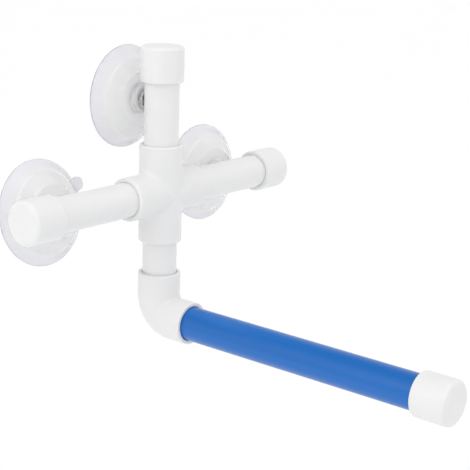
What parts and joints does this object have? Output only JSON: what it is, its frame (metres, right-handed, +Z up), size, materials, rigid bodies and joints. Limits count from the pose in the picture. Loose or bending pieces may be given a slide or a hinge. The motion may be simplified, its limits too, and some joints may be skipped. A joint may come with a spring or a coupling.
{
  "type": "suction cup pipe perch",
  "caption": "Wall perch of white plastic pipe on clear suction cups, with a blue bar that stands out from an elbow and swings flat to the wall.",
  "frame": {"origin": "on the wall plane, straight behind the middle of the cross fitting", "axes": "+Y into the wall, so the perch stands out along -Y; +Z up; +X to the right for someone who faces the wall"},
  "size_m": [0.211, 0.2362, 0.1715],
  "materials": {
    "white_pvc": "satin moulded PVC",
    "blue_pvc": "satin extruded PVC",
    "plated_steel": "bright nickel plate",
    "clear_soft_pvc": "clear soft PVC"
  },
  "bodies": {
    "frame": {"cross_fitting": "white_pvc", "drop_nipple": "white_pvc"},
    "perch": {"elbow": "white_pvc", "perch_pipe": "blue_pvc", "perch_cap": "white_pvc"},
    "left_arm": {"left_pipe": "white_pvc", "left_cap": "white_pvc", "left_stud": "plated_steel", "left_lock_nut": "plated_steel", "left_hex_nut": "plated_steel"},
    "right_arm": {"right_pipe": "white_pvc", "right_cap": "white_pvc", "right_stud": "plated_steel", "right_lock_nut": "plated_steel", "right_hex_nut": "plated_steel"},
    "top_arm": {"top_pipe": "white_pvc", "top_cap": "white_pvc", "top_stud": "plated_steel", "top_lock_nut": "plated_steel", "top_hex_nut": "plated_steel"},
    "left_cup": {"left_suction_cup": "clear_soft_pvc"},
    "right_cup": {"right_suction_cup": "clear_soft_pvc"},
    "top_cup": {"top_suction_cup": "clear_soft_pvc"}
  },
  "joints": [
    {"name": "perch_swing", "type": "hinge", "parent": "frame", "child": "perch", "pos_m": [0, -0.028, -0.038], "axis": [0, 0, 1], "range_deg": [-90, 90]},
    {"name": "left_arm_turn", "type": "hinge", "parent": "frame", "child": "left_arm", "pos_m": [-0.0285, -0.028, 0], "axis": [1, 0, 0], "continuous": true},
    {"name": "right_arm_turn", "type": "hinge", "parent": "frame", "child": "right_arm", "pos_m": [0.0285, -0.028, 0], "axis": [1, 0, 0], "continuous": true},
    {"name": "top_arm_turn", "type": "hinge", "parent": "frame", "child": "top_arm", "pos_m": [0, -0.028, 0.0285], "axis": [0, 0, 1], "continuous": true},
    {"name": "left_cup_spin", "type": "hinge", "parent": "left_arm", "child": "left_cup", "pos_m": [-0.068, -0.01425, -0.00265], "axis": [0, 0.982, -0.1891], "continuous": true},
    {"name": "right_cup_spin", "type": "hinge", "parent": "right_arm", "child": "right_cup", "pos_m": [0.068, -0.01405, -0.00125], "axis": [0, 0.996, -0.0889], "continuous": true},
    {"name": "top_cup_spin", "type": "hinge", "parent": "top_arm", "child": "top_cup", "pos_m": [-0.00046, -0.01401, 0.053], "axis": [-0.0332, 0.9995, 0], "continuous": true}
  ]
}
